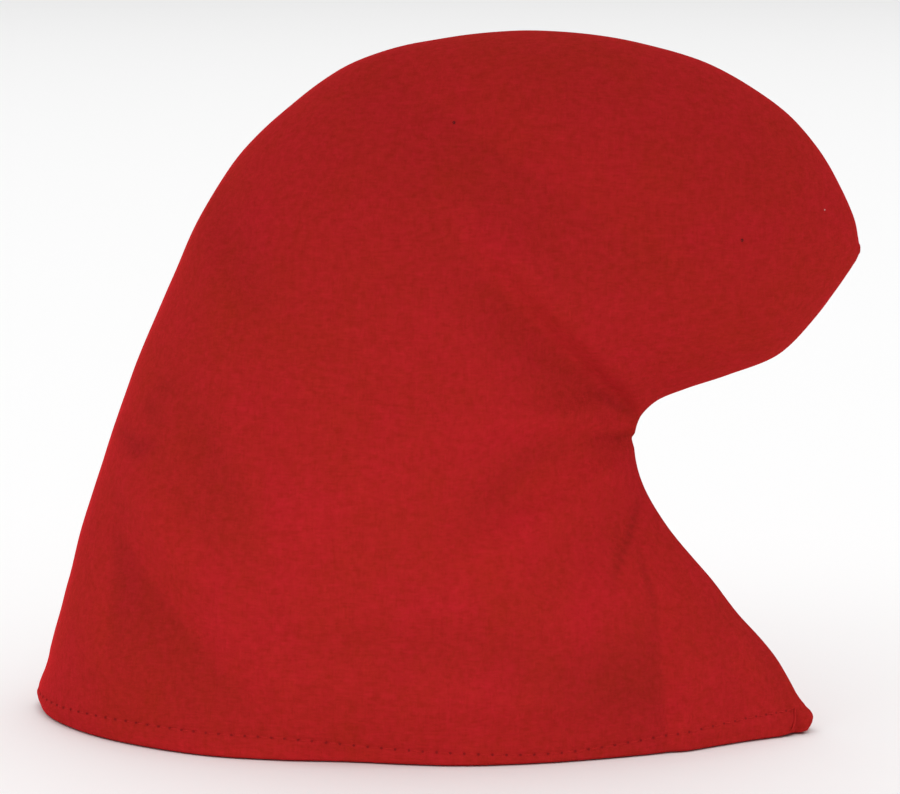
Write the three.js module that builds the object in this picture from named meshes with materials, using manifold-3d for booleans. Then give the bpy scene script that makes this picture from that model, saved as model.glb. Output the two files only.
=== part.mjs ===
// Elf hat: two felt panels sewn together up the back, over the crown, round the curled peak and down the
// front. The rim is hemmed and stands open on a table. Millimetres, +Z up, and +X to the front, where the
// peak curls over. The origin is on the table, under the middle of the hat.
import * as THREE from "three";
import Module from "manifold-3d";

const wasm = await Module();
wasm.setup();

// Driving dimensions
const FELT = 2; // thickness of the felt
const SEAM_GAP = 0.3; // between the two panels along their seam
const ALLOWANCE = 6; // felt turned in along the seam, inside the hat
const HEM = 9; // height of the hem, where the felt is turned up and lies double
const EDGE_FADE = 16; // a fold dies away where the felt comes closer than this to the seam plane
const OVERCUT = 5; // how far the hollow runs past the felt that it opens

// Mesh density
const ROWS_PER_SECTION = 3;
const STEPS_ROUND = 22;

// One row for each section of a panel, from the rim to the tip of the peak. back and front are its ends
// on the seam, in the side view, as [x, z]. halfWidth is how far the panel stands out there, and widest
// is where it does so, as a share of the way from back to front. pinch is for the back end and the front
// end: 0.5 rounds it off as an ellipse does, and 1 draws it out to a sharp edge.
const SECTIONS = [
  { at: "rim", back: [-132.5, 0], front: [120.5, 0], halfWidth: 65, widest: 0.42, pinch: [0.5, 0.8] },
  { at: "hem", back: [-131, HEM], front: [117, HEM], halfWidth: 65, widest: 0.42, pinch: [0.5, 0.8] },
  { at: "forehead", back: [-126, 26], front: [105, 27], halfWidth: 64, widest: 0.43, pinch: [0.51, 0.81] },
  { at: "brow", back: [-120.5, 46], front: [87.5, 47], halfWidth: 61, widest: 0.45, pinch: [0.53, 0.82] },
  { at: "temple", back: [-110, 80], front: [65.5, 77], halfWidth: 55, widest: 0.47, pinch: [0.56, 0.84] },
  { at: "notch", back: [-95, 121], front: [62, 90], halfWidth: 49, widest: 0.48, pinch: [0.58, 0.86] },
  { at: "nape", back: [-76.5, 162.5], front: [62.5, 95], halfWidth: 44, widest: 0.48, pinch: [0.6, 0.86] },
  { at: "crown_back", back: [-48, 197], front: [65, 100], halfWidth: 40, widest: 0.48, pinch: [0.62, 0.85] },
  { at: "crown_top", back: [-13, 216], front: [70, 105], halfWidth: 37, widest: 0.48, pinch: [0.64, 0.83] },
  { at: "crown_front", back: [27, 221], front: [79, 109], halfWidth: 34, widest: 0.48, pinch: [0.66, 0.8] },
  { at: "peak", back: [67, 217], front: [93, 114], halfWidth: 30, widest: 0.48, pinch: [0.68, 0.76] },
  { at: "peak_front", back: [100, 203], front: [108, 121], halfWidth: 24, widest: 0.5, pinch: [0.7, 0.74] },
  { at: "nose", back: [119.5, 185], front: [119.5, 133], halfWidth: 15, widest: 0.5, pinch: [0.7, 0.72] },
  { at: "tip_base", back: [130, 166], front: [129, 147], halfWidth: 6, widest: 0.5, pinch: [0.7, 0.7] },
  { at: "tip", back: [132.5, 156], front: [132.5, 154], halfWidth: 1.2, widest: 0.5, pinch: [0.7, 0.7] },
];
const LAST_HOLLOW_SECTION = "nose"; // past it the felt of the two panels fills the tip

// One row for each soft fold: a valley along a line in the side view, from [x, z] to [x, z], deepest
// halfway, with a low ridge on each side of it.
const FOLDS = [
  { at: "peak_crease", from: [76, 74], to: [6, 174], depth: 4.5, width: 9 },
  { at: "crown_crease", from: [-14, 213], to: [84, 154], depth: 2.5, width: 14 },
  { at: "notch_pleat", from: [74, 98], to: [10, 72], depth: 2.5, width: 7 },
  { at: "nape_dent", from: [-80, 168], to: [-46, 142], depth: 1.5, width: 9 },
  { at: "nape_fold", from: [-90, 120], to: [-48, 48], depth: 2, width: 10 },
  { at: "back_fold", from: [-122, 72], to: [-48, 5], depth: 3, width: 11 },
  { at: "front_fold", from: [81, 64], to: [79, 5], depth: 2, width: 9 },
];

// One row for each panel: the side it stands out to, and how much of each fold it takes up.
const PANELS = [
  { name: "right_panel", towards: -1, foldShare: 1 },
  { name: "left_panel", towards: 1, foldShare: 0.75 },
];

const FELT_RED = new THREE.MeshStandardMaterial({ color: 0xa62020, roughness: 0.95, metalness: 0 });

// A smooth curve through one column of the section table.
function columnCurve(pick) {
  return new THREE.CatmullRomCurve3(SECTIONS.map((row) => new THREE.Vector3(...pick(row))));
}

const BACK_LINE = columnCurve((row) => [row.back[0], 0, row.back[1]]);
const FRONT_LINE = columnCurve((row) => [row.front[0], 0, row.front[1]]);
const FULLNESS = columnCurve((row) => [row.halfWidth, row.widest, 0]);
const PINCH = columnCurve((row) => [...row.pinch, 0]);

// How far the folds draw the felt in at a point of the side view.
function foldDepth(x, z) {
  let depth = 0;
  for (const fold of FOLDS) {
    const start = new THREE.Vector2(...fold.from);
    const run = new THREE.Vector2(...fold.to).sub(start);
    const reach = new THREE.Vector2(x, z).sub(start);
    const along = THREE.MathUtils.clamp(reach.dot(run) / run.lengthSq(), 0, 1);
    const away = reach.sub(run.multiplyScalar(along)).length() / fold.width;
    const valley = (1 - away * away) * Math.exp((-away * away) / 2);
    depth += fold.depth * valley * Math.sin(Math.PI * along);
  }
  return depth;
}

// The outer face at one section, from the back seam to the front seam, for a panel that stands out to +Y.
function sectionPoints(t, foldShare) {
  const back = BACK_LINE.getPoint(t);
  const front = FRONT_LINE.getPoint(t);
  const { x: halfWidth, y: widest } = FULLNESS.getPoint(t);
  const { x: backPinch, y: frontPinch } = PINCH.getPoint(t);
  const points = [];
  for (let step = 0; step <= STEPS_ROUND; step++) {
    const turn = (Math.PI * step) / STEPS_ROUND;
    const toFront = turn > Math.PI / 2;
    const share = widest - (toFront ? 1 - widest : widest) * Math.cos(turn);
    const point = back.clone().lerp(front, share);
    const bulge = halfWidth * Math.abs(Math.sin(turn)) ** (2 * (toFront ? frontPinch : backPinch));
    const fold = foldShare * foldDepth(point.x, point.z) * THREE.MathUtils.smoothstep(bulge, 0, EDGE_FADE);
    point.y = SEAM_GAP / 2 + bulge - fold;
    points.push(point);
  }
  return points;
}

// The same face moved inwards by depth, square to the felt.
function insetRows(rows, depth) {
  const last = rows.length - 1;
  return rows.map((row, i) =>
    row.map((point, k) => {
      const along = rows[Math.min(i + 1, last)][k].clone().sub(rows[Math.max(i - 1, 0)][k]);
      const round = row[Math.min(k + 1, STEPS_ROUND)].clone().sub(row[Math.max(k - 1, 0)]);
      return point.clone().addScaledVector(round.cross(along).normalize(), depth);
    }),
  );
}

// A closed solid through a list of rings, each a list of the same number of points, with a cap on each
// end.
function ringSolid(rings) {
  const round = rings[0].length;
  const corners = rings.flat();
  const triVerts = [];
  for (let i = 0; i < rings.length - 1; i++) {
    for (let k = 0; k < round; k++) {
      const a = i * round + k;
      const b = i * round + ((k + 1) % round);
      triVerts.push(a, b + round, b, a, a + round, b + round);
    }
  }
  for (const [ring, forward] of [[0, true], [rings.length - 1, false]]) {
    const middle = rings[ring].reduce((sum, p) => sum.add(p), new THREE.Vector3()).divideScalar(round);
    corners.push(middle);
    for (let k = 0; k < round; k++) {
      const edge = [ring * round + k, ring * round + ((k + 1) % round)];
      triVerts.push(corners.length - 1, ...(forward ? edge : edge.reverse()));
    }
  }
  const vertProperties = new Float32Array(corners.flatMap((p) => p.toArray()));
  const mesh = new wasm.Mesh({ numProp: 3, vertProperties, triVerts: new Uint32Array(triVerts) });
  return new wasm.Manifold(mesh);
}

function geometryOf(solid) {
  const mesh = solid.getMesh();
  const geometry = new THREE.BufferGeometry();
  geometry.setAttribute("position", new THREE.BufferAttribute(mesh.vertProperties, 3));
  geometry.setIndex(new THREE.BufferAttribute(mesh.triVerts, 1));
  geometry.computeVertexNormals();
  return geometry;
}

const lowered = (ring) => ring.map((p) => new THREE.Vector3(p.x, p.y, -OVERCUT));

// The hollow of one panel: the outer face moved in by the felt, and by double felt below the top of the
// hem. It stops short of the seam plane by the felt that is turned in there.
function hollowSolid(rows, lastRow) {
  const doubled = insetRows(rows, 2 * FELT).slice(0, ROWS_PER_SECTION + 1);
  const single = insetRows(rows, FELT).slice(ROWS_PER_SECTION, lastRow + 1);
  const rings = [lowered(doubled[0]), ...doubled.slice(1), ...single].map((row) => {
    const { x: backX, z: backZ } = row[0];
    const { x: frontX, z: frontZ } = row[STEPS_ROUND];
    return [...row, new THREE.Vector3(frontX, -OVERCUT, frontZ), new THREE.Vector3(backX, -OVERCUT, backZ)];
  });
  return ringSolid(rings).trimByPlane([0, 1, 0], SEAM_GAP / 2 + FELT);
}

// Opens the seam plane inside the line where the turned-in felt ends.
function seamWindow(rows, lastRow) {
  const inner = SEAM_GAP / 2 + 1.5 * FELT;
  const rings = rows.slice(0, lastRow + 1).map((row) => {
    const inwards = row[STEPS_ROUND].clone().sub(row[0]).setLength(ALLOWANCE);
    const back = row[0].clone().add(inwards);
    const front = row[STEPS_ROUND].clone().sub(inwards);
    return [
      new THREE.Vector3(back.x, inner, back.z),
      new THREE.Vector3(front.x, inner, front.z),
      new THREE.Vector3(front.x, -OVERCUT, front.z),
      new THREE.Vector3(back.x, -OVERCUT, back.z),
    ];
  });
  return ringSolid([lowered(rings[0]), ...rings.slice(1)]);
}

function panelMesh({ name, towards, foldShare }) {
  const count = (SECTIONS.length - 1) * ROWS_PER_SECTION;
  const rows = Array.from({ length: count + 1 }, (_, i) => sectionPoints(i / count, foldShare));
  const lastRow = SECTIONS.findIndex((row) => row.at === LAST_HOLLOW_SECTION) * ROWS_PER_SECTION;
  const panel = ringSolid(rows).subtract(hollowSolid(rows, lastRow)).subtract(seamWindow(rows, lastRow));
  const mesh = new THREE.Mesh(geometryOf(panel), FELT_RED);
  mesh.name = name;
  mesh.scale.y = towards;
  return mesh;
}

const hat = new THREE.Group();
hat.name = "elf_hat";
hat.add(...PANELS.map(panelMesh));

export default hat;
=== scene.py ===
# A red felt elf hat that stands open on its rim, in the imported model's frame: +X to the front, +Z up.
import math
import bpy
import numpy as np
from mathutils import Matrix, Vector, noise


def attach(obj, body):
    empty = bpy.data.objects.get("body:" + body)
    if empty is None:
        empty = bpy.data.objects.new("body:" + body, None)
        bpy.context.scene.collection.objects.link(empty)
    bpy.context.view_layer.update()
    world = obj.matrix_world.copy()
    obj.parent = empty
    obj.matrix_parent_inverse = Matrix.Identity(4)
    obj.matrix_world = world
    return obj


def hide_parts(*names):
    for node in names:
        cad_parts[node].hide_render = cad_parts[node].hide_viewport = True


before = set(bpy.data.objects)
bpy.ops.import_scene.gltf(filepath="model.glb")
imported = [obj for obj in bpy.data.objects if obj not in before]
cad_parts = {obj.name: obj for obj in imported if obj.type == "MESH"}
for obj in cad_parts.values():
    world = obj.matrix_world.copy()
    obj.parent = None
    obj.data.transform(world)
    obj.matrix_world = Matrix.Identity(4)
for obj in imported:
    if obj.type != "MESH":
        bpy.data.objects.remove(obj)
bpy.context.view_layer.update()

# The felt panels: the right and left side of the hat, cut as a mirrored pair from red pressed felt of 2 mm.
# They are sewn together inside out, up the back, over the crown and down the front, and then turned, so the
# seam allowance lies inside. The rim is turned up on the inside as a hem.
MM = 0.001
FELT = 2.0
ALLOWANCE = 6.0
SEAM_ROLL = 1.7  # how far the felt is rounded to each side of the seam
SEAM_OUTSET = dict(back=1.0, front=0.35)  # and how far the seam is moved out, so that it keeps its place
SEAM_FELT = 1.1  # thickness of the felt where the seam bends it
SEAM_FELT_STEPS = ([-3, -1.5, 1.5, 4.4], [1.6, SEAM_FELT, SEAM_FELT, FELT])  # and how that changes past it
ROOM_SHARE = 0.4  # the felt takes up no more than this share of the room inside the narrow tip
SEAM_DIP = dict(depth=0.8, width=0.9, fade=14.0)  # its groove on the hem, and how far above it that fades
HEM = 9.0
HEM_ROUND = 2.1  # half the width of the hem's fold at the rim
HEM_FOLD = 0.9  # and its height, flattened where the hat rests on it
HEM_FELT = HEM_ROUND - 0.3  # thickness of the felt in the hem, pressed by the stitches
HEM_TOP = 12.0  # the fine mesh of the hem ends here
HEM_ROWS = dict(inside=8, fold=8, outside=16)
CLEAR_OF_TABLE = 0.1  # the back of the felt stays this far above the table

# From the rim to the tip of the peak, in millimetres. back and front are the ends of a section on the seam,
# in the side view. full is how far a panel stands out, and at which share of the way to the front it does
# so. pinch is for the back and the front end: 0.5 is round, and 1 is drawn out to a sharp edge.
SECTIONS = [
    dict(at="rim", back=(-132.5, 0), front=(120.5, 0), full=(65, 0.42), pinch=(0.5, 0.8)),
    dict(at="hem", back=(-131, HEM), front=(117, HEM), full=(65, 0.42), pinch=(0.5, 0.8)),
    dict(at="forehead", back=(-126, 26), front=(105, 27), full=(64, 0.43), pinch=(0.51, 0.81)),
    dict(at="brow", back=(-120.5, 46), front=(87.5, 47), full=(61, 0.45), pinch=(0.53, 0.82)),
    dict(at="temple", back=(-110, 80), front=(65.5, 77), full=(55, 0.47), pinch=(0.56, 0.84)),
    dict(at="notch", back=(-95, 121), front=(62, 90), full=(49, 0.48), pinch=(0.58, 0.86)),
    dict(at="nape", back=(-76.5, 162.5), front=(62.5, 95), full=(44, 0.48), pinch=(0.6, 0.86)),
    dict(at="crown_back", back=(-48, 197), front=(65, 100), full=(40, 0.48), pinch=(0.62, 0.85)),
    dict(at="crown_top", back=(-13, 216), front=(70, 105), full=(37, 0.48), pinch=(0.64, 0.83)),
    dict(at="crown_front", back=(27, 221), front=(79, 109), full=(34, 0.48), pinch=(0.66, 0.8)),
    dict(at="peak", back=(67, 217), front=(93, 114), full=(30, 0.48), pinch=(0.68, 0.76)),
    dict(at="peak_front", back=(100, 203), front=(108, 121), full=(24, 0.5), pinch=(0.7, 0.74)),
    dict(at="nose", back=(119.5, 185), front=(119.5, 133), full=(15, 0.5), pinch=(0.7, 0.72)),
    dict(at="tip_base", back=(130, 166), front=(129, 147), full=(6, 0.5), pinch=(0.7, 0.7)),
    dict(at="tip", back=(132.5, 156), front=(132.5, 154), full=(1.2, 0.5), pinch=(0.7, 0.7)),
]
FOREHEAD = 26.5  # the height of the third section, halfway between its ends

# Hand-fed sewing strays from the smooth line of the table above: how far the seam lies outside it, at places
# counted in sections from the rim. At 5.6 on the front, the curve is clipped and the seam has a cusp.
SEAM_STRAY = dict(
    back=[(0, -0.3), (0.5, 1.95), (1, 1.2), (1.5, -0.65), (2, -0.6), (3, -0.75), (3.5, 0), (5, 0),
          (5.6, -1.2), (6.5, 0.4), (7, -0.6), (7.6, 0.6), (8.3, -0.8), (9, 0.4), (10, -0.2), (10.5, 0.7),
          (11, 0.2), (11.5, 0.7), (12.5, -0.5), (13.5, 0.25), (13.75, 0), (14, -0.35)],
    front=[(0, 1.0), (0.25, 1.1), (0.45, 1.8), (0.7, 1.7), (0.92, 0.9), (1.1, 0.1), (1.8, 0.9), (2.5, 0),
           (3, 1.3), (3.5, 0), (4, 0.6), (5, 0.75), (5.6, -0.25), (6, 0.5), (7, -0.4), (10, -0.65),
           (11, -0.25), (12.5, -0.6), (13.5, 0.4), (13.75, 0.9), (14, 0.3)],
)
STRAY_ROUND = 0.08  # its corners are rounded over this share of a section

# The rim isn't a smooth oval either: how far it stands outside it, at places along X.
RIM_WAVE = [(-122, -4), (-100, -2.5), (-85, -2), (-60, 0), (-20, -4.5), (0, -2), (15, 0), (45, -1),
            (60, -1.5), (78, -0.5), (95, -4.5), (108, -4.5), (118, 0)]
RIM_WAVE_ROUND = 8.0
RIM_WAVE_HEIGHT = 30.0
RIM_WAVE_FADE = 12.0  # how far from the seam plane it is whole

# At the front the hem ends in a rounded lump of turned felt, with a crease behind it, and its lower corner is
# round. Distances are along the hem, from the seam.
HEM_END = dict(
    height=13.0, lift=0.6,
    lump=1.6, lump_at=3.6, lump_width=2.8,
    crease=1.3, crease_at=8.2, crease_width=1.7,
)
HEM_CORNER = dict(radius=5.5, reach=12.0)

# The peak is closed at its tip by a few short rows: how far each goes past the last section, and which
# share of that section's width and height it has.
TIP_ROWS = [(0.2, 0.85, 0.86), (0.34, 0.5, 0.62), (0.4, 0.0, 0.3)]

# Valleys in the felt, along a line in the side view, deepest halfway, and ridges, which have a negative
# depth. width and the painted tone are for the slope to the left and to the right of the line. narrow is
# the share of the width at the start. sharp goes from 0, a soft valley, to 1, a crease. The painted tone is
# shade painted darker into the felt along the fold, from 0 to 2 in a hard crease, and light painted paler
# where it is negative, down to -1, and a line without depth only paints this tone. fade is how far from the
# seam plane the fold is whole.
SHADING_EDGE = 0.9  # the painted shade of one slope goes over into that of the other within about this much
SHADING_LIMITS = (-1, 2)
CREASE = dict(steep=1.4, level=0.17, rounding=0.03)  # a crease falls off from its line like this
FOLD_COLUMNS = ("at", "start", "end", "depth", "width", "narrow", "sharp", "painted_shading", "fade")
FOLDS = [dict(zip(FOLD_COLUMNS, row)) for row in (
    ("peak_crease", (82, 77), (-2, 176), 4.8, (15, 9), 0.4, 0.0, (0.3, -0.4), 9),
    ("crown_crease", (-30, 220), (84, 148), 5.0, (15, 20), 1.0, 0.0, (-0.1, 0.35), 16),
    ("peak_dent", (50, 156), (136, 164), 0.6, (20, 20), 1.0, 0.0, (0.3, 0.3), 14),
    ("notch_ridge", (74, 104), (-4, 105), -1.6, (8, 7), 0.4, 0.0, (-0.5, -0.4), 8),
    ("notch_ridge", (84, 86), (24, 84), -0.6, (4, 4), 0.5, 0.0, (-0.9, -0.9), 6),
    ("notch_ridge", (84, 97), (24, 101), -0.4, (3, 3), 0.5, 0.0, (-0.9, -0.9), 6),
    ("side_ridge", (30, 112), (-66, 58), -1.8, (11, 10), 1.0, 0.0, (-0.4, -0.4), 16),
    ("notch_pleat", (62, 105), (0, 58), 1.8, (10, 10), 0.6, 0.0, (-0.2, -0.2), 12),
    ("pleat_shade", (46, 104), (10, 65), 0.5, (4, 4), 1.0, 0.0, (0.8, 0.8), 10),
    ("front_ridge", (74, 93), (2, 52), -1.6, (9, 8), 0.6, 0.0, (-1.0, -1.0), 10),
    ("front_ridge", (78, 66), (36, 28), -0.6, (9, 9), 1.0, 0.0, (-0.7, -0.7), 6),
    ("nape_dent", (-76, 178), (-46, 132), 2.0, (7, 9), 1.0, 0.2, (0.6, 0.6), 12),
    ("nape_valley", (-82, 118), (-44, 54), 0.8, (6, 6), 1.0, 0.0, (0.8, 0.8), 10),
    ("nape_ridge", (-100, 84), (-58, 48), -1.4, (5, 5), 1.0, 0.0, (-0.4, -0.4), 10),
    ("nape_line", (-92, 96), (-54, 58), 0.8, (3, 3), 1.0, 0.5, (0.3, 0.3), 6),
    ("back_fold", (-116, 82), (-36, 4), 4.5, (7, 19), 1.0, 0.6, (-0.4, 1.0), 16),
    ("side_valley", (-56, 37), (80, 32), 1.5, (8, 9), 1.0, 0.0, (0.4, 0.4), 12),
    ("hem_ridge", (4, 22), (64, 17), -1.0, (7, 6), 1.0, 0.0, (-0.2, -0.2), 12),
    ("front_valley", (26, 28), (86, 18), 0.5, (7, 7), 1.0, 0.0, (0.6, 0.6), 12),
    # Light painted paler along the bottom of the hem, where its fold turns under.
    ("hem_painted_light", (-124, 2), (14, -1), -0.1, (3, 3), 1.0, 0.0, (-1.0, -1.0), 6),
    ("back_edge", (-101, 78), (-99, 20), 0.6, (8, 8), 1.0, 0.0, (0.3, -0.8), 6),
    ("front_fold", (71, 56), (79.5, -16), 2.6, (4, 21), 1.0, 0.6, (-0.4, 0.8), 12),
    ("front_edge", (86, 52), (120, 0), 0.6, (4, 5), 1.0, 0.0, (0.9, 0.9), 2),
    ("front_streak", (92, 40), (110, 6), -0.8, (2.5, 2.5), 1.0, 0.0, (-0.9, -0.9), 3),
    ("notch_tuck", (88, 93), (34, 99), 0.9, (2, 2), 1.0, 0.8, (0.2, 0.2), 6),
    ("notch_tuck", (74, 86), (48, 123), 0.6, (2, 2), 1.0, 0.8, (0.5, 0.5), 6),
    # Lines without depth paint shade along the creases at the notch.
    ("notch_shade_line", (72, 95.3), (55, 94), 0.0, (1, 1), 1.0, 0.0, (1.4, 1.4), 1),
    ("notch_shade_line", (68, 96), (48, 113), 0.0, (1.2, 1.2), 1.0, 0.0, (1.0, 1.0), 1),
    ("seam_pucker", (65.9, 78), (58.2, 48), 1.3, (1.9, 1.9), 1.0, 0.8, (-0.6, -0.2), 4),
    # A line without depth paints shade along each seam pucker.
    ("pucker_shade_line", (65.9, 78), (58.2, 48), 0.0, (0.9, 0.9), 1.0, 0.0, (2.6, 2.6), 2),
    ("seam_pucker", (59.5, 72), (58.3, 51), 0.9, (1.9, 1.9), 1.0, 0.8, (-0.4, -0.2), 4),
    ("pucker_shade_line", (59.5, 72), (58.3, 51), 0.0, (0.9, 0.9), 1.0, 0.0, (1.2, 1.2), 2),
    ("seam_pucker", (63.2, 66), (72.8, 41), 1.0, (1.9, 1.9), 1.0, 0.8, (-0.2, -0.4), 4),
    ("pucker_shade_line", (63.2, 66), (72.8, 41), 0.0, (0.9, 0.9), 1.0, 0.0, (1.5, 1.5), 2),
    ("back_dent", (-106, 98), (-89, 88.5), 0.6, (2.2, 2.2), 1.0, 0.3, (1.2, 1.2), 3),
    ("back_dent", (-98, 89), (-81, 95), 0.6, (2.2, 2.2), 1.0, 0.3, (1.0, 1.0), 3),
    ("back_dent", (-93, 108), (-83, 98), 0.5, (2.2, 2.2), 1.0, 0.3, (1.0, 1.0), 3),
    ("back_dent", (-89, 110.5), (-78, 111), 0.5, (2.2, 2.2), 1.0, 0.3, (0.8, 0.8), 3),
    ("back_dent", (-112, 83), (-86, 65), 0.9, (3, 3), 1.0, 0.3, (0.5, 0.5), 5),
)]
UNEVENNESS = [(0.45, 34, 1), (0.18, 11, 2)]  # height and size of its waves, and which part of the pattern
UNEVENNESS_FADE = 6.0  # how far from the seam plane it is whole
SHARP_FROM = math.radians(60)  # a corner of the felt is shaded sharp from this angle on
PANELS = [
    dict(name="right_panel", towards=-1, fold_share=1.0, unevenness_from=(3.1, 0.4, 7.7)),
    dict(name="left_panel", towards=1, fold_share=0.75, unevenness_from=(12.6, 5.2, 1.3)),
]

# Columns across a panel: distances in from each seam, columns between them, which lie closer together over
# the last fifth, where the puckers are, and the steps along the turned-in allowance. The hem has HEM_FINER
# times as many, so that it takes up the stitches. On the rows above it the rolled seam and the crowding set
# in gradually.
EDGE_STEPS = np.array([0, 0.4, 0.9, 1.5, 2.3, 3.2, 4.4])
MIDDLE_COLUMNS = 150
COLUMN_SPREAD = ([0, 0.58, 0.78, 1], [0, 0.8, 0.9, 1])
ALLOWANCE_STEPS = ALLOWANCE * np.array([0.07, 0.16, 0.28, 0.45, 0.7, 1])
HEM_FINER = 3
UPPER_ROWS = 186
ROLL_ROWS = 8
CROWDING_ROWS = 28
OUTLINE_STEPS = 901
STRIP_STEPS = 60
STRIP_SPARE = 3.0  # the allowance goes on this far past its end, for rounding it
ROLL_REACH = 3.5  # the felt is rounded less and less over about this much from the seam
NARROW_SECTION = 60.0  # a row shorter than this has its edge steps closer together
NARROW_ALLOWANCE = 0.3  # and an allowance is at most this share of its section
LEAST_ROUND = 0.05


def smooth_line(column, t):
    """A point at share t of a smooth curve through one column of the section table."""
    p = np.array([row[column] for row in SECTIONS], float)
    p = np.vstack([2 * p[0] - p[1], p, 2 * p[-1] - p[-2]])
    i = min(int(t * (len(SECTIONS) - 1)), len(SECTIONS) - 2)
    w = t * (len(SECTIONS) - 1) - i
    a, b, c, d = p[i:i + 4]
    ab, bc, cd = (max(np.linalg.norm(step), 1e-4) ** 0.5 for step in (b - a, c - b, d - c))
    leave = bc * ((b - a) / ab - (c - a) / (ab + bc)) + c - b
    arrive = bc * ((d - c) / cd - (d - b) / (bc + cd)) + c - b
    return b + w * leave + w**2 * (3 * (c - b) - 2 * leave - arrive) + w**3 * (2 * (b - c) + leave + arrive)


def seam_stray(seam, t):
    at, out = np.array(SEAM_STRAY[seam]).T
    return np.mean(np.interp(t * (len(SECTIONS) - 1) + STRAY_ROUND * np.array([-1, 0, 1]), at, out))


def section_outline(t, rolled=0.0):
    """The outer face of a panel at one section, from the back seam to the front seam, standing out to +Y."""
    back, front, (half_width, widest), pinch = (smooth_line(c, t) for c in ("back", "front", "full", "pinch"))
    chord = (front - back) / np.linalg.norm(front - back)
    back = back - (seam_stray("back", t) + rolled * SEAM_OUTSET["back"]) * chord
    front = front + (seam_stray("front", t) + rolled * SEAM_OUTSET["front"]) * chord
    turn = np.linspace(0, math.pi, OUTLINE_STEPS)
    ahead = turn > math.pi / 2
    share = widest - np.where(ahead, 1 - widest, widest) * np.cos(turn)
    bulge = half_width * np.abs(np.sin(turn)) ** (2 * np.where(ahead, pinch[1], pinch[0]))
    side = back + share[:, None] * (front - back)
    return np.column_stack([side[:, 0], bulge, side[:, 1]])


def run_of(line):
    return np.concatenate([[0], np.cumsum(np.linalg.norm(np.diff(line, axis=0), axis=1))])


def points_along(line, at):
    return np.column_stack([np.interp(at, run_of(line), line[:, axis]) for axis in range(3)])


def rounded_along(line, at, reach):
    """Points along a line, averaged over reach to each side, which rounds off its corners."""
    run = run_of(line)
    steps = np.diff(run)[:, None] * (line[1:] + line[:-1]) / 2
    total = np.vstack([np.zeros(3), np.cumsum(steps, axis=0)])
    after, before = (
        np.column_stack([np.interp(place, run, total[:, axis]) for axis in range(3)])
        for place in (at + reach, at - reach)
    )
    return (after - before) / (2 * reach[:, None])


def columns_over(length, crowding=0.0, finer=1):
    ends = EDGE_STEPS * min(1, length / NARROW_SECTION)
    even = np.linspace(0, 1, MIDDLE_COLUMNS + 1)[1:-1]
    share = even + crowding * (np.interp(even, *COLUMN_SPREAD) - even)
    middle = ends[-1] + share * (length - 2 * ends[-1])
    columns = np.concatenate([ends, middle, (length - ends)[::-1]])
    count = len(columns) - 1
    return np.interp(np.linspace(0, count, count * finer + 1), np.arange(count + 1), columns)


def hem_row(t, inset, height):
    """A row of the hem, moved in towards the hat's inside by inset, down to the seam plane at both ends."""
    line = section_outline(t)
    along = np.gradient(line, axis=0)
    along /= np.linalg.norm(along, axis=1)[:, None]
    line = line + inset * np.column_stack([along[:, 1], -along[:, 0], np.zeros(len(line))])
    line = line[line[:, 1] >= 0]
    if height is not None:
        line[:, 2] = height
    columns = columns_over(run_of(line)[-1], finer=HEM_FINER)
    row = points_along(line, columns)
    row[[0, -1], 1] = 0
    return row, columns


def upper_row(t, roll, crowding):
    """A row above the hem: allowance, seam, outer face, seam, allowance."""
    outline = section_outline(t, rolled=roll / SEAM_ROLL)
    length = run_of(outline)[-1]
    chord = outline[-1] - outline[0]
    small = min(1, NARROW_ALLOWANCE * np.linalg.norm(chord) / ALLOWANCE)
    inwards = chord / np.linalg.norm(chord) * (ALLOWANCE + STRIP_SPARE)
    strip = np.linspace(1, 0, STRIP_STEPS)[:, None] * inwards
    line = np.vstack([outline[0] + strip[:-1], outline, outline[-1] - strip[::-1][1:]])
    back_seam = ALLOWANCE + STRIP_SPARE
    front_seam = back_seam + length
    at = np.concatenate([
        back_seam - small * ALLOWANCE_STEPS[::-1],
        back_seam + columns_over(length, crowding),
        front_seam + small * ALLOWANCE_STEPS,
    ])
    from_seam = np.minimum(abs(at - back_seam), abs(at - front_seam))
    reach = np.maximum(LEAST_ROUND, roll * small * np.exp(-((from_seam / ROLL_REACH) ** 2)))
    return rounded_along(line, at, reach)


def smooth_rise(value, top):
    share = np.clip(value / top, 0, 1)
    return share * share * (3 - 2 * share)


def folds_at(x, z, bulge):
    """How far the folds draw the felt in, and the shade they paint on it, at points of the side view."""
    depth, painted_shading = np.zeros_like(x), np.zeros_like(x)
    for fold in FOLDS:
        run = np.subtract(fold["end"], fold["start"])
        reach_x, reach_z = x - fold["start"][0], z - fold["start"][1]
        along = np.clip((reach_x * run[0] + reach_z * run[1]) / run.dot(run), 0, 1)
        on_left = run[0] * reach_z - run[1] * reach_x > 0
        width = np.where(on_left, *fold["width"]) * (fold["narrow"] + (1 - fold["narrow"]) * along)
        off_line = np.hypot(reach_x - along * run[0], reach_z - along * run[1])
        away = off_line / width
        soft = (1 - away**2) * np.exp(-(away**2) / 2)
        crease = np.exp(CREASE["steep"] * (CREASE["level"] - np.sqrt(away**2 + CREASE["rounding"])))
        here = np.sin(math.pi * along) * smooth_rise(bulge, fold["fade"])
        depth += fold["depth"] * here * (soft + fold["sharp"] * (crease - soft))
        # The tone of each slope is painted shade, and painted light where it is negative.
        left_share = 0.5 + 0.5 * np.tanh(np.where(on_left, off_line, -off_line) / SHADING_EDGE)
        left, right = fold["painted_shading"]
        painted_shading += (right + (left - right) * left_share) * here * np.exp(-(away**2) / 2)
    return depth, painted_shading


def rim_wave(x):
    at, out = np.array(RIM_WAVE).T
    spread = np.linspace(-RIM_WAVE_ROUND, RIM_WAVE_ROUND, 7)
    return np.mean([np.interp(x + step, at, out) for step in spread], axis=0)


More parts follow.
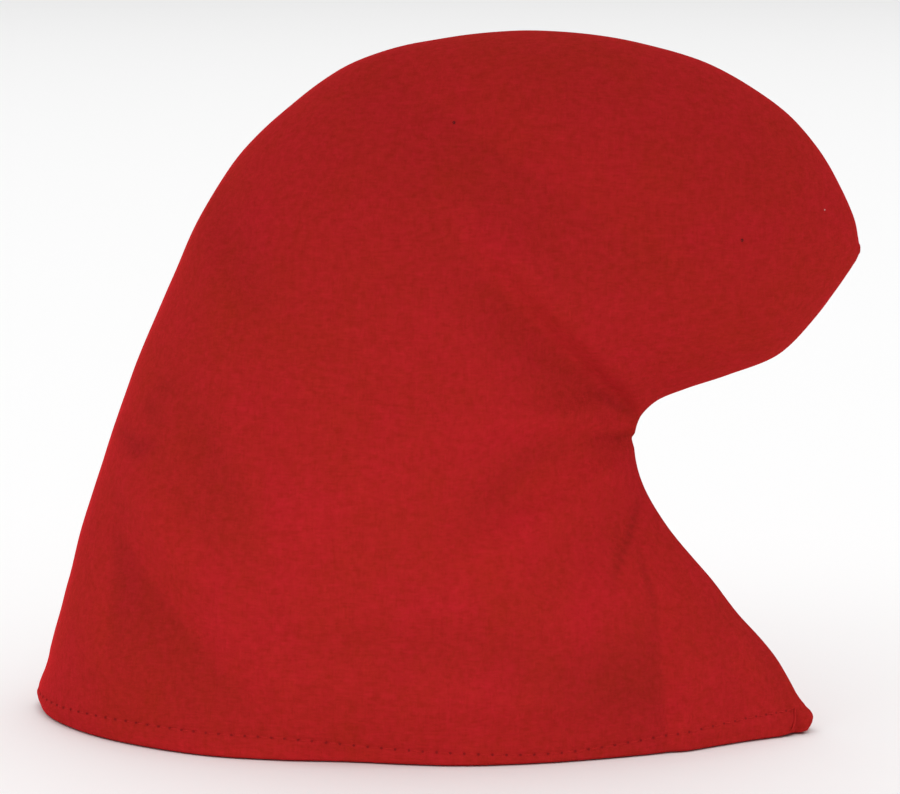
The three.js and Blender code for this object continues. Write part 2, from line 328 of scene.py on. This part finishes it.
def seam_dip(points, from_seam):
    """How far the felt dips in along the seam, on the hem and fading out above it."""
    dip = SEAM_DIP["depth"] * np.exp(-((from_seam / SEAM_DIP["width"]) ** 2))
    return dip * (1 - smooth_rise(points[:, 2] - HEM_TOP, SEAM_DIP["fade"]))


def hem_end(points, from_front):
    """How far the lump at the front end of the hem stands out, and the crease behind it goes in and up."""
    lump = np.exp(-(((from_front - HEM_END["lump_at"]) / HEM_END["lump_width"]) ** 2))
    crease = (from_front - HEM_END["crease_at"]) / HEM_END["crease_width"]
    whole = 1 - smooth_rise(points[:, 2], HEM_END["height"])
    out = HEM_END["lump"] * lump - HEM_END["crease"] * np.exp(-(crease**2))
    return out * whole, HEM_END["lift"] * np.exp(-(((crease - 1) / 2) ** 2)) * whole


def hem_corner(points, from_front):
    """How far the lower front corner of the hem is drawn back, which rounds it off."""
    radius = HEM_CORNER["radius"]
    above = np.clip(radius - points[:, 2], 0, radius)
    return (radius - np.sqrt(radius**2 - above**2)) * (1 - smooth_rise(from_front, HEM_CORNER["reach"]))


def tip_row(last, out, width, height):
    middle = (last[0] + last[-1]) / 2
    return middle + (last - middle) * (1, width, height) + (out, 0, 0)


def unevenness(points, start):
    """The slight waviness that pressed felt keeps, in millimetres."""
    start = Vector(start)
    return np.array([
        sum(height * noise.noise(Vector(p) / size + part * start) for height, size, part in UNEVENNESS)
        for p in points
    ])


# Hem stitches, which draw a groove and needle holes into the felt, on the outside and on the inside.
STITCH = 4.3
STITCH_LINE = dict(  # how high the line of stitches runs above the rim, at places along X
    right_panel=[(-126, 6.0), (-100, 7.4), (-85, 7.6), (-33, 7.1), (-16, 5.3), (8, 4.4), (17, 4.0), (29, 3.2),
                 (44, 2.8), (52, 3.2), (60, 4.0), (77, 5.5), (91, 6.7), (110, 8.0)],
    left_panel=[(-126, 6.6), (-90, 7.2), (-40, 6.8), (10, 7.4), (60, 6.9), (110, 7.5)],
)
STITCH_LINE_ROUND = 9.0
GROOVE = dict(depth=0.22, width=0.7)
NEEDLE_HOLE = dict(depth=0.5, width=0.5)


def stitch_height(x, panel_name):
    line = np.array(STITCH_LINE[panel_name])
    spread = np.linspace(-STITCH_LINE_ROUND, STITCH_LINE_ROUND, 7)
    return np.mean([np.interp(x + step, line[:, 0], line[:, 1]) for step in spread], axis=0)


def hem_t(height):
    """The share of the way from the rim to the tip at which a height above the rim is reached."""
    return np.interp(height, [0, HEM, FOREHEAD], np.arange(3) / (len(SECTIONS) - 1))


inside_heights = np.linspace(HEM, HEM_FOLD, HEM_ROWS["inside"] + 1)[:-1]
fold_turns = np.linspace(math.pi, 0, HEM_ROWS["fold"])
outside_heights = np.linspace(HEM_FOLD, HEM_TOP, HEM_ROWS["outside"] + 1)[1:]
hem_rows = (
    [(hem_t(h), 2 * HEM_ROUND, h) for h in inside_heights]
    + [(hem_t(HEM_FOLD), HEM_ROUND * (1 - math.cos(a)), HEM_FOLD * (1 - math.sin(a))) for a in fold_turns]
    + [(hem_t(h), 0.0, None) for h in outside_heights]
)
upper_shares = np.linspace(hem_t(HEM_TOP), 1, UPPER_ROWS + 1)[1:]
upper_rolls = SEAM_ROLL * smooth_rise(np.arange(UPPER_ROWS) + 1.0, ROLL_ROWS)
upper_crowding = smooth_rise(np.arange(UPPER_ROWS) + 1.0, CROWDING_ROWS)


def quads(ids):
    corners = [ids[:-1, :-1], ids[:-1, 1:], ids[1:, 1:], ids[1:, :-1]]
    return np.stack(corners, axis=-1).reshape(-1, 4).tolist()


def normals_of(points, faces):
    mesh = bpy.data.meshes.new("felt_face")
    mesh.from_pydata(points.tolist(), [], faces)
    normals = np.empty(len(points) * 3)
    mesh.vertex_normals.foreach_get("vector", normals)
    bpy.data.meshes.remove(mesh)
    return normals.reshape(-1, 3)


def felt_sheet(name, points, faces, thickness, painted_shading):
    """A closed sheet of felt from its right side: the back of the felt, and the cut edge all round.

    The fourth argument is the shade painted at each point of the right side, negative for painted light.
    """
    count = len(points)
    back_side = points - normals_of(points, faces) * thickness[:, None]
    back_side[:, 2] = np.maximum(back_side[:, 2], CLEAR_OF_TABLE)
    edges = {(a, b) for face in faces for a, b in zip(face, face[1:] + face[:1])}
    cut_edge = [(b, a, a + count, b + count) for a, b in edges if (b, a) not in edges]
    reverse = [[corner + count for corner in reversed(face)] for face in faces]
    mesh = bpy.data.meshes.new(name)
    mesh.from_pydata((np.vstack([points, back_side]) * MM).tolist(), [], faces + reverse + sorted(cut_edge))
    mesh.shade_smooth()
    mesh.set_sharp_from_angle(angle=SHARP_FROM)
    # The painted shade and light of the folds, kept on the felt for its colour.
    painted_fold_shading = mesh.attributes.new("painted_fold_shading", "FLOAT", "POINT")
    painted_fold_shading.data.foreach_set("value", np.concatenate([painted_shading, np.zeros(count)]))
    piece = bpy.data.objects.new(name, mesh)
    bpy.context.collection.objects.link(piece)
    return piece


panel_pieces = {}
hem_faces = {}
felt_faces = {}
for panel in PANELS:
    towards = panel["towards"]
    hem_points, hem_runs = (np.array(part) for part in zip(*(hem_row(*row) for row in hem_rows)))
    upper_rows = [upper_row(*row) for row in zip(upper_shares, upper_rolls, upper_crowding)]
    upper_rows += [tip_row(upper_rows[-1], *row) for row in TIP_ROWS]
    upper_points = np.array(upper_rows)
    hem_ids = np.arange(hem_points[..., 0].size).reshape(hem_points.shape[:2])
    upper_ids = hem_ids.size + np.arange(upper_points[..., 0].size).reshape(upper_points.shape[:2])
    points = np.vstack([hem_points.reshape(-1, 3), upper_points.reshape(-1, 3)])

    inner_columns = upper_ids[0, len(ALLOWANCE_STEPS):-len(ALLOWANCE_STEPS)]
    faces = quads(hem_ids) + quads(upper_ids)
    for k in range(len(inner_columns) - 1):
        below = hem_ids[-1, k * HEM_FINER:(k + 1) * HEM_FINER + 1].tolist()
        faces.append(below + [int(inner_columns[k + 1]), int(inner_columns[k])])
    if towards > 0:
        faces = [face[::-1] for face in faces]

    bulge = points[:, 1].copy()
    # The folds draw the felt in, and give the shade and light painted into its colour.
    depth, painted_shading = folds_at(points[:, 0], points[:, 2], bulge)
    points[:, 1] -= panel["fold_share"] * depth
    low_down = 1 - smooth_rise(points[:, 2], RIM_WAVE_HEIGHT)
    points[:, 1] += rim_wave(points[:, 0]) * low_down * smooth_rise(bulge, RIM_WAVE_FADE)
    points[:, 1] *= towards
    normals = normals_of(points, faces)
    wave = unevenness(points, panel["unevenness_from"]) * smooth_rise(bulge, UNEVENNESS_FADE)
    wave *= smooth_rise(points[:, 2], HEM_TOP)
    upper_seams = upper_points[:, [len(ALLOWANCE_STEPS), -1 - len(ALLOWANCE_STEPS)]]
    upper_runs = np.linalg.norm(upper_points[:, :, None] - upper_seams[:, None], axis=-1)
    from_back = np.concatenate([hem_runs.ravel(), upper_runs[..., 0].ravel()])
    from_front = np.concatenate([(hem_runs[:, -1:] - hem_runs).ravel(), upper_runs[..., 1].ravel()])
    points += normals * wave[:, None]
    out, lift = hem_end(points, from_front)
    points[:, :2] += normals[:, :2] * out[:, None]
    points[:, 2] += lift
    points[:, 0] -= hem_corner(points, from_front)
    points[:, 0] += seam_dip(points, from_back) - seam_dip(points, from_front)

    heights = stitch_height(hem_points[..., 0], panel["name"])
    off_line = hem_points[..., 2] - heights
    off_hole = (hem_runs + STITCH / 2) % STITCH - STITCH / 2
    hole = np.exp(-(off_hole**2 + off_line**2) / NEEDLE_HOLE["width"] ** 2)
    groove = np.exp(-((off_line / GROOVE["width"]) ** 2))
    hem_faces[panel["name"]] = dict(
        points=points[hem_ids].copy(), normals=normals[hem_ids].copy(), runs=hem_runs, heights=heights
    )
    drawn_in = (NEEDLE_HOLE["depth"] * hole + GROOVE["depth"] * groove).ravel()
    points[:hem_ids.size] -= normals[:hem_ids.size] * drawn_in[:, None]

    clear_of_seam = np.full(MIDDLE_COLUMNS - 1, EDGE_STEPS[-1])
    seam_steps = np.concatenate([
        -ALLOWANCE_STEPS[::-1], EDGE_STEPS, clear_of_seam, EDGE_STEPS[::-1], -ALLOWANCE_STEPS
    ])
    upper_felt = np.interp(seam_steps, *SEAM_FELT_STEPS)
    row_shares = [*upper_shares, *np.ones(len(TIP_ROWS))]
    inner_room = ROOM_SHARE * np.array([smooth_line("full", t)[0] for t in row_shares])
    thickness = np.concatenate([
        np.full(hem_ids.size, HEM_FELT),
        np.minimum(upper_felt[None, :], inner_room[:, None]).ravel(),
    ])
    felt_faces[panel["name"]] = (points, normals)
    # The painted shade and light are as strong as this panel's folds.
    painted_shading = np.clip(panel["fold_share"] * painted_shading, *SHADING_LIMITS)
    piece = felt_sheet(panel["name"] + "_felt", points, faces, thickness, painted_shading)
    panel_pieces[panel["name"]] = piece
    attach(piece, "root")
    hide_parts(panel["name"])

# Felt of dyed fibres: red in soft clouds of pinker and browner red, with fine streaks of single fibres, a
# few dark flecks, and a short nap that catches light at a grazing angle. Shade is painted darker along the
# creases of the folds, and light is painted paler along their ridges.
PRESSED_RED = (0.324, 0.0144, 0.0104, 1)
RAISED_RED = (0.376, 0.0114, 0.0170, 1)
FLECK_RED = (0.090, 0.0040, 0.0040, 1)
# Painted shade for the creases of the folds, and painted light for their ridges.
CREASE_SHADE_TONE = (0.72, 0.84, 0.72, 1)
RIDGE_LIGHT_TONE = (1.09, 1.00, 1.12, 1)
SHADED_TONE = (0.77, 0.84, 0.62, 1)  # between the fibres
FIBRES_ACROSS = dict(stretch=(0.3, 1, 1.6), turn=(0.1, 0.3, 0.1))
FIBRES_UP = dict(stretch=(1.6, 1, 0.25), turn=(0.2, 0.5, 0.7))
FLECKS = dict(scale=38, size=(0.022, 0.008), rare=(0.72, 0.95))
felt = bpy.data.materials.new("red_felt")
felt.use_nodes = True
felt_tree = felt.node_tree
shader = felt_tree.nodes["Principled BSDF"]
shader.inputs["Roughness"].default_value = 0.95
shader.inputs["Specular IOR Level"].default_value = 0.02
shader.inputs["Sheen Weight"].default_value = 0.6
shader.inputs["Sheen Roughness"].default_value = 0.3
shader.inputs["Sheen Tint"].default_value = (1.0, 0.015, 0.03, 1)


def felt_noise(tree, scale, detail, stretch=(1, 1, 1), turn=(0, 0, 0)):
    place = tree.nodes.new("ShaderNodeTexCoord")
    lay = tree.nodes.new("ShaderNodeMapping")
    lay.inputs["Scale"].default_value = stretch
    lay.inputs["Rotation"].default_value = turn
    tree.links.new(place.outputs["Object"], lay.inputs["Vector"])
    grain = tree.nodes.new("ShaderNodeTexNoise")
    grain.inputs["Scale"].default_value = scale
    grain.inputs["Detail"].default_value = detail
    grain.inputs["Roughness"].default_value = 0.6
    tree.links.new(lay.outputs["Vector"], grain.inputs["Vector"])
    return grain.outputs["Fac"]


def added(tree, a, b, share):
    total = tree.nodes.new("ShaderNodeMath")
    total.operation = "MULTIPLY_ADD"
    tree.links.new(b, total.inputs[0])
    total.inputs[1].default_value = share
    tree.links.new(a, total.inputs[2])
    return total.outputs["Value"]


def mixed(tree, share, a, b, blend="MIX"):
    """Colour a, turned into colour b by a share. Each is a colour or another node's output."""
    mix = tree.nodes.new("ShaderNodeMix")
    mix.data_type = "RGBA"
    mix.blend_type = blend
    for socket, value in (("Factor", share), ("A", a), ("B", b)):
        spot = [s for s in mix.inputs if s.name == socket and s.enabled][0]
        if isinstance(value, bpy.types.NodeSocket):
            tree.links.new(value, spot)
        else:
            spot.default_value = value
    return [s for s in mix.outputs if s.enabled][0]


def stretched(tree, value, low, high):
    """A value stretched so that low becomes 0 and high becomes 1."""
    reach = tree.nodes.new("ShaderNodeMapRange")
    reach.inputs["From Min"].default_value = low
    reach.inputs["From Max"].default_value = high
    tree.links.new(value, reach.inputs["Value"])
    return reach.outputs["Result"]


fibres = felt_noise(felt_tree, 900, 3, **FIBRES_ACROSS)
fibres = added(felt_tree, fibres, felt_noise(felt_tree, 900, 3, **FIBRES_UP), 0.8)
mottle = felt_noise(felt_tree, 480, 4, stretch=(0.85, 1, 1))
cloud = added(felt_tree, felt_noise(felt_tree, 34, 5), felt_noise(felt_tree, 120, 3), 0.35)
cloud = added(felt_tree, cloud, felt_noise(felt_tree, 600, 2), 0.3)
tone = added(felt_tree, mottle, fibres, 0.7)
felt_red = mixed(felt_tree, stretched(felt_tree, cloud, 0.52, 1.13), PRESSED_RED, RAISED_RED)
felt_red = mixed(felt_tree, stretched(felt_tree, tone, 1.42, 0.87), felt_red, SHADED_TONE, "MULTIPLY")

place = felt_tree.nodes.new("ShaderNodeTexCoord")
flecks = felt_tree.nodes.new("ShaderNodeTexVoronoi")
flecks.inputs["Scale"].default_value = FLECKS["scale"]
felt_tree.links.new(place.outputs["Object"], flecks.inputs["Vector"])
rare = felt_tree.nodes.new("ShaderNodeSeparateColor")
felt_tree.links.new(flecks.outputs["Color"], rare.inputs["Color"])
fleck = felt_tree.nodes.new("ShaderNodeMath")
fleck.operation = "MULTIPLY"
felt_tree.links.new(stretched(felt_tree, flecks.outputs["Distance"], *FLECKS["size"]), fleck.inputs[0])
felt_tree.links.new(stretched(felt_tree, rare.outputs["Red"], *FLECKS["rare"]), fleck.inputs[1])
felt_red = mixed(felt_tree, fleck.outputs["Value"], felt_red, FLECK_RED)

# The folds' painted shade darkens the felt, and their painted light makes it paler.
painted_fold_shading = felt_tree.nodes.new("ShaderNodeAttribute")
painted_fold_shading.attribute_name = "painted_fold_shading"
fold_shading = painted_fold_shading.outputs["Fac"]
felt_red = mixed(felt_tree, stretched(felt_tree, fold_shading, 0, SHADING_LIMITS[1]), felt_red, CREASE_SHADE_TONE, "MULTIPLY")
felt_red = mixed(felt_tree, stretched(felt_tree, fold_shading, 0, SHADING_LIMITS[0]), felt_red, RIDGE_LIGHT_TONE, "MULTIPLY")
felt_tree.links.new(felt_red, shader.inputs["Base Color"])

relief = felt_tree.nodes.new("ShaderNodeBump")
relief.inputs["Strength"].default_value = 0.5
relief.inputs["Distance"].default_value = 0.0003
felt_tree.links.new(added(felt_tree, fibres, mottle, 0.8), relief.inputs["Height"])
felt_tree.links.new(relief.outputs["Normal"], shader.inputs["Normal"])
for piece in panel_pieces.values():
    piece.data.materials.append(felt)

# The hem stitching: one line of lockstitch in red sewing thread, 4.3 mm to a stitch, holds the hem up. The
# top thread lies outside and the bobbin thread inside, and both dive into the felt at each needle hole. A
# small dark disc in each hole is painted shade, for the shadow down in it. At the front end of the line, the
# cut end of the top thread hangs down over the hem.
THREAD_RADIUS = 0.27
THREAD_TURN = 1.6  # length of one turn of its plies
PLY_RELIEF = 0.14  # how far they stand out, as a share of the radius
THREAD_SUNK = 0.12  # how far it lies in the groove halfway along a stitch
THREAD_DIVE = 0.7  # and how much deeper it goes at the needle holes
THREAD_SIDES = 8
STITCH_RINGS = 13
DIVE_STEEP = 1.6
LOOSE_END = dict(panel="right_panel", back=5.6, height=0.9, rings=24, bend=1.3)
FIBRE_GRAIN = 1600
FIBRE_SHINE = 0.05
THREAD_COLOURS = [(0.300, 0.0105, 0.0100, 1), (0.370, 0.0125, 0.0120, 1)]
# Dark discs of painted shade in the needle holes: radius, height above the groove's bottom, colours.
HOLE_SHADE_RADIUS = 0.4
HOLE_SHADE_LIFT = 0.08
HOLE_SHADE_COLOURS = [(0.165, 0.0070, 0.0070, 1), (0.215, 0.0090, 0.0090, 1)]


def line_on_hem(face, rows, heights):
    """Points and felt normals along the hem, at a height for each column, on some of its rows."""
    line_points, line_normals = [], []
    for column, height in enumerate(heights):
        order = rows[np.argsort(face["points"][rows, column, 2])]
        points, normals = face["points"][order, column], face["normals"][order, column]
        line_points.append([np.interp(height, points[:, 2], points[:, axis]) for axis in range(3)])
        line_normals.append([np.interp(height, points[:, 2], normals[:, axis]) for axis in range(3)])
    return np.array(line_points), np.array(line_normals)


def unit(vectors):
    return vectors / np.linalg.norm(vectors, axis=1)[:, None]


def places_on_line(run, line, normals, at, sunk):
    """Places along a line on the felt, sunk into it, and the ways that lead along, across and out of it."""
    centre = np.column_stack([np.interp(at, run, line[:, axis]) for axis in range(3)])
    out = unit(np.column_stack([np.interp(at, run, normals[:, axis]) for axis in range(3)]))
    centre = centre - out * np.broadcast_to(sunk, at.shape)[:, None]
    along = unit(np.gradient(centre, axis=0))
    across = unit(np.cross(along, out))
    return centre, along, across, np.cross(across, along)


turn = np.arange(THREAD_SIDES) * 2 * math.pi / THREAD_SIDES


def thread_tube(centre, along, across, up, at):
    plies = 1 + PLY_RELIEF * np.cos(2 * (turn[None, :] - at[:, None] * 2 * math.pi / THREAD_TURN))
    ring = across[:, None] * np.cos(turn)[None, :, None] + up[:, None] * np.sin(turn)[None, :, None]
    return centre[:, None] + THREAD_RADIUS * plies[..., None] * ring


def tube_faces_of(tubes):
    """The faces of some tubes, each a grid of rings, with both ends closed."""
    faces = []
    start = 0
    for tube in tubes:
        ids = start + np.arange(tube[..., 0].size).reshape(tube.shape[:2])
        faces += quads(np.hstack([ids, ids[:, :1]]))
        faces += [ids[0].tolist(), ids[-1][::-1].tolist()]
        start += ids.size
    return faces


def fibre_finish(name, colours, roughness):
    """A matt finish of fine fibres in two close colours."""
    finish = bpy.data.materials.new(name)
    finish.use_nodes = True
    tree = finish.node_tree
    shader = tree.nodes["Principled BSDF"]
    shader.inputs["Roughness"].default_value = roughness
    shader.inputs["Specular IOR Level"].default_value = FIBRE_SHINE
    grain = stretched(tree, felt_noise(tree, FIBRE_GRAIN, 2), 0.3, 0.7)
    tree.links.new(mixed(tree, grain, *colours), shader.inputs["Base Color"])
    return finish


hem_sides = dict(
    outside=np.arange(len(inside_heights) + len(fold_turns), len(hem_rows)),
    inside=np.arange(len(inside_heights)),
)
thread_pieces = {}
for panel in PANELS:
    face = hem_faces[panel["name"]]
    tubes, hole_shades = [], []
    for side, rows in hem_sides.items():
        run = face["runs"][rows[0]]
        stitch_heights = face["heights"][rows[0]]
        line, normals = line_on_hem(face, rows, stitch_heights)
        last_hole = int(run[-1] / STITCH) - 1
        share = np.linspace(0, 1, STITCH_RINGS)
        dive = THREAD_DIVE * (1 - np.sin(math.pi * share)) ** DIVE_STEEP
        sunk = GROOVE["depth"] + THREAD_SUNK + dive
        for stitch in range(1, last_hole):
            at = (stitch + share) * STITCH
            tubes.append(thread_tube(*places_on_line(run, line, normals, at, sunk), at))
        at = STITCH * np.arange(1, last_hole + 1)
        # A dark disc of painted shade lies in each needle hole.
        centre, along, across, _ = places_on_line(run, line, normals, at, GROOVE["depth"] - HOLE_SHADE_LIFT)
        ring = along[:, None] * np.cos(turn)[None, :, None] + across[:, None] * np.sin(turn)[None, :, None]
        hole_shades.append(centre[:, None] + HOLE_SHADE_RADIUS * ring)
        if side == "outside" and panel["name"] == LOOSE_END["panel"]:
            share = np.linspace(0, 1, LOOSE_END["rings"])
            at = last_hole * STITCH - LOOSE_END["back"] * share
            fall = np.interp(run, at[::-1], share[::-1] ** LOOSE_END["bend"])
            heights = stitch_heights + fall * (LOOSE_END["height"] - stitch_heights)
            line, normals = line_on_hem(face, rows, heights)
            tubes.append(thread_tube(*places_on_line(run, line, normals, at, -THREAD_RADIUS), at))
    tube_faces = tube_faces_of(tubes)
    corners = np.vstack([part.reshape(-1, 3) for part in tubes + hole_shades])
    hole_shade_start = sum(tube[..., 0].size for tube in tubes)
    hole_shade_faces = np.arange(hole_shade_start, len(corners)).reshape(-1, THREAD_SIDES).tolist()
    name = "hem_stitching_" + panel["name"].split("_")[0]
    mesh = bpy.data.meshes.new(name)
    mesh.from_pydata((corners * MM).tolist(), [], tube_faces + hole_shade_faces)
    mesh.shade_smooth()
    mesh.polygons.foreach_set("material_index", [0] * len(tube_faces) + [1] * len(hole_shade_faces))
    piece = bpy.data.objects.new(name, mesh)
    bpy.context.collection.objects.link(piece)
    thread_pieces[panel["name"]] = piece
    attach(piece, "root")

thread_finish = fibre_finish("red_thread", THREAD_COLOURS, roughness=0.8)
# The discs in the needle holes get a dark finish of painted shade.
hole_shade_finish = fibre_finish("needle_hole_shade", HOLE_SHADE_COLOURS, roughness=1.0)
for piece in thread_pieces.values():
    piece.data.materials.append(thread_finish)
    piece.data.materials.append(hole_shade_finish)

# Lint: a few specks of dust and fluff that cling to the nap, two dark and one pale. Each is a fibre of
# about a millimetre, curled up, that lies on the felt of the right panel.
LINT = [
    dict(name="dark_lint", places=[(7.4, 194.5), (98.1, 160.0)], radius=0.32, fibre=0.13,
         colours=[(0.03, 0.008, 0.008, 1), (0.07, 0.012, 0.012, 1)]),
    dict(name="pale_lint", places=[(121.7, 168.2)], radius=0.18, fibre=0.09,
         colours=[(0.45, 0.20, 0.19, 1), (0.55, 0.32, 0.30, 1)]),
]
LINT_FIBRE = dict(rings=20, turns=0.85, sides=6)
lint_pieces = []
for lint in LINT:
    tubes = []
    for side_view in lint["places"]:
        felt_points, felt_normals = felt_faces["right_panel"]
        nearest = np.argmin(np.hypot(*(felt_points[:, (0, 2)] - side_view).T))
        out = felt_normals[nearest]
        right = np.cross(out, (0, 0, 1))
        right /= np.linalg.norm(right)
        bend = np.linspace(0, LINT_FIBRE["turns"] * 2 * math.pi, LINT_FIBRE["rings"])
        curl = np.cos(bend)[:, None] * right + np.sin(bend)[:, None] * np.cross(right, out)
        centre = felt_points[nearest] + 0.5 * lint["fibre"] * out + lint["radius"] * curl
        round_fibre = np.linspace(0, 2 * math.pi, LINT_FIBRE["sides"] + 1)[:-1, None]
        ring = np.cos(round_fibre) * curl[:, None] + np.sin(round_fibre) * out
        tubes.append(centre[:, None] + lint["fibre"] * ring)
    corners = np.vstack([tube.reshape(-1, 3) for tube in tubes])
    mesh = bpy.data.meshes.new(lint["name"])
    mesh.from_pydata((corners * MM).tolist(), [], tube_faces_of(tubes))
    mesh.shade_smooth()
    mesh.materials.append(fibre_finish(lint["name"], lint["colours"], roughness=0.9))
    piece = bpy.data.objects.new(lint["name"], mesh)
    bpy.context.collection.objects.link(piece)
    lint_pieces.append(piece)
    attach(piece, "root")

# The table: a plain pale surface, painted matt, that the rim stands on. It is stage and no part of the hat,
# and it runs on past the picture on all sides.
TABLE_SIZE = 60.0
TABLE_BELOW = 0.0002  # so that the felt and the table don't lie in one plane
table_mesh = bpy.data.meshes.new("table")
half = TABLE_SIZE / 2
corners = [(-half, -half, 0), (half, -half, 0), (half, half, 0), (-half, half, 0)]
table_mesh.from_pydata(corners, [], [(0, 1, 2, 3)])
table = bpy.data.objects.new("table", table_mesh)
table.location.z = -TABLE_BELOW
bpy.context.collection.objects.link(table)
pale = bpy.data.materials.new("pale_table")
pale.use_nodes = True
paint = pale.node_tree.nodes["Principled BSDF"]
paint.inputs["Base Color"].default_value = (0.90, 0.90, 0.90, 1)
paint.inputs["Roughness"].default_value = 0.9
table_mesh.materials.append(pale)

# The studio light: a bright room under a luminous ceiling, and soft boxes and strips round the hat. Flags
# keep the light of the boxes off the table, so that they shape the felt and leave no edge of light behind
# them.
room = bpy.data.worlds.new("bright_room")
room.use_nodes = True
room.node_tree.nodes["Background"].inputs["Color"].default_value = (1, 1, 1, 1)
room.node_tree.nodes["Background"].inputs["Strength"].default_value = 0.2
bpy.context.scene.world = room
BOX_COLUMNS = ("name", "place", "aim", "size", "power", "flagged")
SOFT_BOXES = [dict(zip(BOX_COLUMNS, row)) for row in (
    ("ceiling", (0, 0, 5), (0, 0, 0), (14, 14), 800, False),
    ("left_strip", (-0.36, -0.34, 0.03), (0, 0, 0.06), (0.4, 0.05), 0.3, True),
    ("front_strip", (0, -0.34, 0.04), (0, 0, 0.08), (0.3, 0.05), 0.39, True),
    ("right_strip", (0.36, -0.3, 0.04), (0.08, 0, 0.09), (0.3, 0.05), 0.16, True),
    ("peak_strip", (0.3, -0.12, 0.03), (0.09, 0, 0.14), (0.12, 0.05), 0.05, True),
    ("left_edge", (-1.28, 0.22, 0.2), (0, 0, 0.1), (0.7, 0.3), 3, True),
    ("right_edge", (1.28, 0.22, 0.2), (0, 0, 0.1), (0.7, 0.3), 2.8, True),
    ("rear_box", (-0.3, 1.4, 0.5), (0, 0, 0.1), (0.9, 0.7), 6, True),
)]
flagged_for = bpy.data.collections.new("lit_by_boxes")
for piece in [*panel_pieces.values(), *thread_pieces.values(), *lint_pieces]:
    flagged_for.objects.link(piece)
for box in SOFT_BOXES:
    light = bpy.data.lights.new(box["name"], "AREA")
    light.shape = "RECTANGLE"
    light.size, light.size_y = box["size"]
    light.energy = box["power"]
    lamp = bpy.data.objects.new(box["name"], light)
    lamp.location = box["place"]
    lamp.rotation_euler = (Vector(box["aim"]) - lamp.location).to_track_quat("-Z", "Y").to_euler()
    lamp.visible_camera = False
    if box["flagged"]:
        lamp.light_linking.receiver_collection = flagged_for
    bpy.context.collection.objects.link(lamp)
bpy.context.scene.view_settings.view_transform = "Standard"

# The camera: from the right side, slightly above the table and slightly to the front, with a long lens.
# Azimuth and elevation are those of the camera as seen from the hat, and distances are in metres.
CAMERA_AZIMUTH = math.radians(8.513)
CAMERA_ELEVATION = math.radians(9.125)
CAMERA_DISTANCE = 1.150
CAMERA_TARGET = Vector((0.0034, 0, 0.1051))
back_from_target = Vector((
    math.sin(CAMERA_AZIMUTH) * math.cos(CAMERA_ELEVATION),
    -math.cos(CAMERA_AZIMUTH) * math.cos(CAMERA_ELEVATION),
    math.sin(CAMERA_ELEVATION),
))
lens = bpy.data.cameras.new("camera")
lens.sensor_width = 36
lens.lens = 143.98
camera = bpy.data.objects.new("camera", lens)
camera.location = CAMERA_TARGET + CAMERA_DISTANCE * back_from_target
camera.rotation_euler = (-back_from_target).to_track_quat("-Z", "Y").to_euler()
bpy.context.collection.objects.link(camera)
bpy.context.scene.camera = camera
